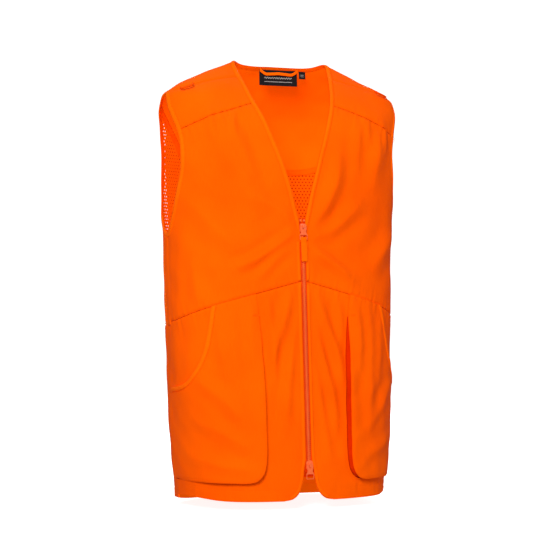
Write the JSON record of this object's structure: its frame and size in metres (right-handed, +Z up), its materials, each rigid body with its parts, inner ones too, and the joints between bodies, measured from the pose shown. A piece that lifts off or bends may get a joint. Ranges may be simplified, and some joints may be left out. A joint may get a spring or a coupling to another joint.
{
  "type": "blaze orange field vest",
  "caption": "Sleeveless blaze orange field vest with a V neck, mesh back, double-ended front zip and side-entry bellows pockets.",
  "frame": {"origin": "centre of the overall width and depth, at the height of the back hem, the lowest point", "axes": "+Z up the body to the neck, the front and its zip face -Y, the wearer's left is +X"},
  "size_m": [0.4236, 0.272, 0.7565],
  "materials": {
    "orange_shell": "matt brushed polyester",
    "orange_mesh": "open polyester mesh",
    "orange_binding": "turned fabric edging",
    "zip_tape": "woven tape",
    "zip_plastic": "moulded teeth",
    "slider_enamel": "salmon enamel on cast zinc",
    "label_black": "woven label"
  },
  "bodies": {
    "back": {"back_yoke": "orange_shell", "neck_band_back": "orange_binding", "back_yoke_trim": "orange_binding", "back_mesh": "orange_mesh", "back_lower": "orange_shell", "hem_facing_back": "orange_shell", "arm_band_back_left": "orange_binding", "arm_band_back_right": "orange_binding"},
    "front_right": {"front_chest_right": "orange_shell", "shoulder_yoke_right": "orange_shell", "front_lower_right": "orange_shell", "hem_facing_right": "orange_shell", "neck_band_right": "orange_binding", "arm_band_front_right": "orange_binding", "pocket_gusset_right": "orange_shell", "zip_tape_right": "zip_tape", "zip_teeth_right": "zip_plastic", "zip_stop_right": "zip_plastic", "zip_pin_right": "zip_plastic"},
    "pocket_right": {"pocket_panel_right": "orange_shell", "pocket_binding_right": "orange_binding"},
    "shoulder_loop_right": {"shoulder_loop_right": "orange_binding"},
    "front_left": {"front_chest_left": "orange_shell", "shoulder_yoke_left": "orange_shell", "front_lower_left": "orange_shell", "hem_facing_left": "orange_shell", "neck_band_left": "orange_binding", "arm_band_front_left": "orange_binding", "pocket_gusset_left": "orange_shell", "zip_tape_left": "zip_tape", "zip_teeth_left": "zip_plastic", "zip_stop_left": "zip_plastic", "zip_pin_left": "zip_plastic"},
    "pocket_left": {"pocket_panel_left": "orange_shell", "pocket_binding_left": "orange_binding"},
    "shoulder_loop_left": {"shoulder_loop_left": "orange_binding"},
    "slider_upper": {"zip_slider_upper": "slider_enamel"},
    "tab_upper": {"zip_tab_upper": "slider_enamel"},
    "puller": {"zip_puller": "orange_binding"},
    "slider_lower": {"zip_slider_lower": "slider_enamel"},
    "tab_lower": {"zip_tab_lower": "slider_enamel"},
    "hanger": {"hanger_loop": "orange_binding"},
    "neck_label": {"neck_label": "label_black"},
    "size_tab": {"size_tab": "label_black"}
  },
  "joints": [
    {"name": "front_right_open", "type": "hinge", "parent": "back", "child": "front_right", "pos_m": [-0.1885, 0.0032, 0], "axis": [0.036, 0, -0.9994], "range_deg": [0, 50], "deforming": ["zip_teeth_right", "zip_tape_right", "zip_teeth_left", "zip_tape_left", "shoulder_yoke_right", "arm_band_front_right"]},
    {"name": "pocket_right_bellows", "type": "hinge", "parent": "front_right", "child": "pocket_right", "pos_m": [-0.084, -0.1008, 0.356], "axis": [-0.9185, 0.3072, -0.2491], "range_deg": [0, 3], "deforming": ["pocket_gusset_right"]},
    {"name": "shoulder_loop_right_swing", "type": "hinge", "parent": "back", "child": "shoulder_loop_right", "pos_m": [-0.178, -0.0233, 0.7065], "axis": [-0.9094, 0.2598, -0.3248], "range_deg": [0, 90]},
    {"name": "front_left_open", "type": "hinge", "parent": "back", "child": "front_left", "pos_m": [0.1885, 0.0032, 0], "axis": [0.036, 0, 0.9994], "range_deg": [0, 50], "deforming": ["zip_teeth_right", "zip_tape_right", "zip_teeth_left", "zip_tape_left", "shoulder_yoke_left", "arm_band_front_left"]},
    {"name": "pocket_left_bellows", "type": "hinge", "parent": "front_left", "child": "pocket_left", "pos_m": [0.084, -0.1008, 0.356], "axis": [-0.9185, -0.3072, 0.2491], "range_deg": [0, 3], "deforming": ["pocket_gusset_left"]},
    {"name": "shoulder_loop_left_swing", "type": "hinge", "parent": "back", "child": "shoulder_loop_left", "pos_m": [0.178, -0.0233, 0.7065], "axis": [-0.9094, -0.2598, 0.3248], "range_deg": [0, 90]},
    {"name": "slider_upper_slide", "type": "slide", "parent": "front_right", "child": "slider_upper", "axis": [0, -0.0721, -0.9974], "range_m": [0, 0.315], "deforming": ["zip_teeth_right", "zip_tape_right", "zip_teeth_left", "zip_tape_left"]},
    {"name": "tab_upper_swing", "type": "hinge", "parent": "slider_upper", "child": "tab_upper", "pos_m": [0, -0.10278, 0.47181], "axis": [-1, 0, 0], "range_deg": [0, 120]},
    {"name": "puller_swing", "type": "hinge", "parent": "tab_upper", "child": "puller", "pos_m": [0, -0.10441, 0.44927], "axis": [-1, 0, 0], "range_deg": [-2, 50]},
    {"name": "slider_lower_slide", "type": "slide", "parent": "front_right", "child": "slider_lower", "axis": [0, -0.0721, -0.9974], "range_m": [-0.315, 0], "deforming": ["zip_teeth_right", "zip_tape_right", "zip_teeth_left", "zip_tape_left"]},
    {"name": "tab_lower_swing", "type": "hinge", "parent": "slider_lower", "child": "tab_lower", "pos_m": [0, -0.1315, 0.07435], "axis": [-1, 0, 0], "range_deg": [0, 120]},
    {"name": "hanger_swing", "type": "hinge", "parent": "back", "child": "hanger", "pos_m": [0, 0.0071, 0.7455], "axis": [-1, 0, 0], "range_deg": [0, 120]},
    {"name": "neck_label_flap", "type": "hinge", "parent": "back", "child": "neck_label", "pos_m": [0, 0.0112, 0.745], "axis": [-1, 0, 0], "range_deg": [-30, 3]},
    {"name": "size_tab_flap", "type": "hinge", "parent": "back", "child": "size_tab", "pos_m": [0, 0.0112, 0.7445], "axis": [-1, 0, 0], "range_deg": [-30, 10]}
  ]
}
